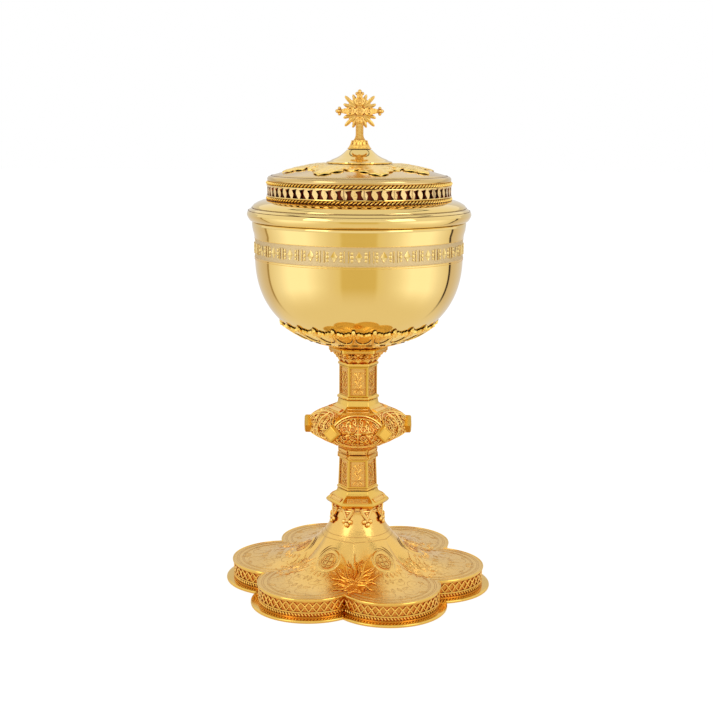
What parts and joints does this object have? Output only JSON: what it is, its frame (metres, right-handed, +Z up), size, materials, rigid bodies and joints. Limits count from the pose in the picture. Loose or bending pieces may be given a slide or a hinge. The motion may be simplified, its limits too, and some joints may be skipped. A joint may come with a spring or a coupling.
{
  "type": "ciborium with lift-off lid",
  "caption": "Covered communion cup with a round bowl, domed lift-off lid with a rayed cross, pierced gallery, hexagonal knopped stem and lobed foot.",
  "frame": {"origin": "centre of the foot's underside, on the surface that the cup stands on", "axes": "+Z up through stem and cross; the pictured front faces -Y; +X to the right"},
  "size_m": [0.1512, 0.1452, 0.2778],
  "materials": {
    "polished_gold": "mirror polished pale gilding",
    "chased_gold": "gilding chased with foliage on a fine matted ground",
    "cast_gold": "cast and chased gilding, darker in its recesses",
    "satin_band": "satin pale gilding with raised ornament",
    "steel": "turned steel"
  },
  "bodies": {
    "cup": {"base_flange": "polished_gold", "foot_wall": "cast_gold", "foot_shell": "chased_gold", "fleuron_crown": "cast_gold", "foot_collar": "polished_gold", "lower_stem_ring": "polished_gold", "lower_stem": "cast_gold", "knop_throat": "polished_gold", "knop_lower": "cast_gold", "knop_upper": "cast_gold", "knop_boss_1": "polished_gold", "knop_boss_2": "polished_gold", "knop_boss_3": "polished_gold", "knop_boss_4": "polished_gold", "knop_boss_5": "polished_gold", "knop_boss_6": "polished_gold", "knop_flare": "polished_gold", "upper_stem_ring": "polished_gold", "upper_stem": "cast_gold", "capital_ring": "polished_gold", "capital": "cast_gold", "calyx": "cast_gold", "cup_socket": "steel", "ornament_band": "satin_band", "cup_bowl": "polished_gold", "foot_washer": "steel", "foot_nut": "steel", "tie_rod": "steel"},
    "lid": {"lid_shoulder": "polished_gold", "locating_ring": "polished_gold", "lower_rope_ring": "cast_gold", "pierced_gallery": "cast_gold", "upper_rope_ring": "cast_gold", "lid_dome": "polished_gold", "leaf_wreath": "cast_gold", "lid_bell": "polished_gold", "leaf_cap": "cast_gold", "finial_cross": "cast_gold", "finial_washer": "steel", "finial_nut": "steel", "finial_stud": "steel"}
  },
  "joints": [
    {"name": "lid_lift", "type": "slide", "parent": "cup", "child": "lid", "axis": [0, 0, 1], "range_m": [0, 0.12]}
  ]
}
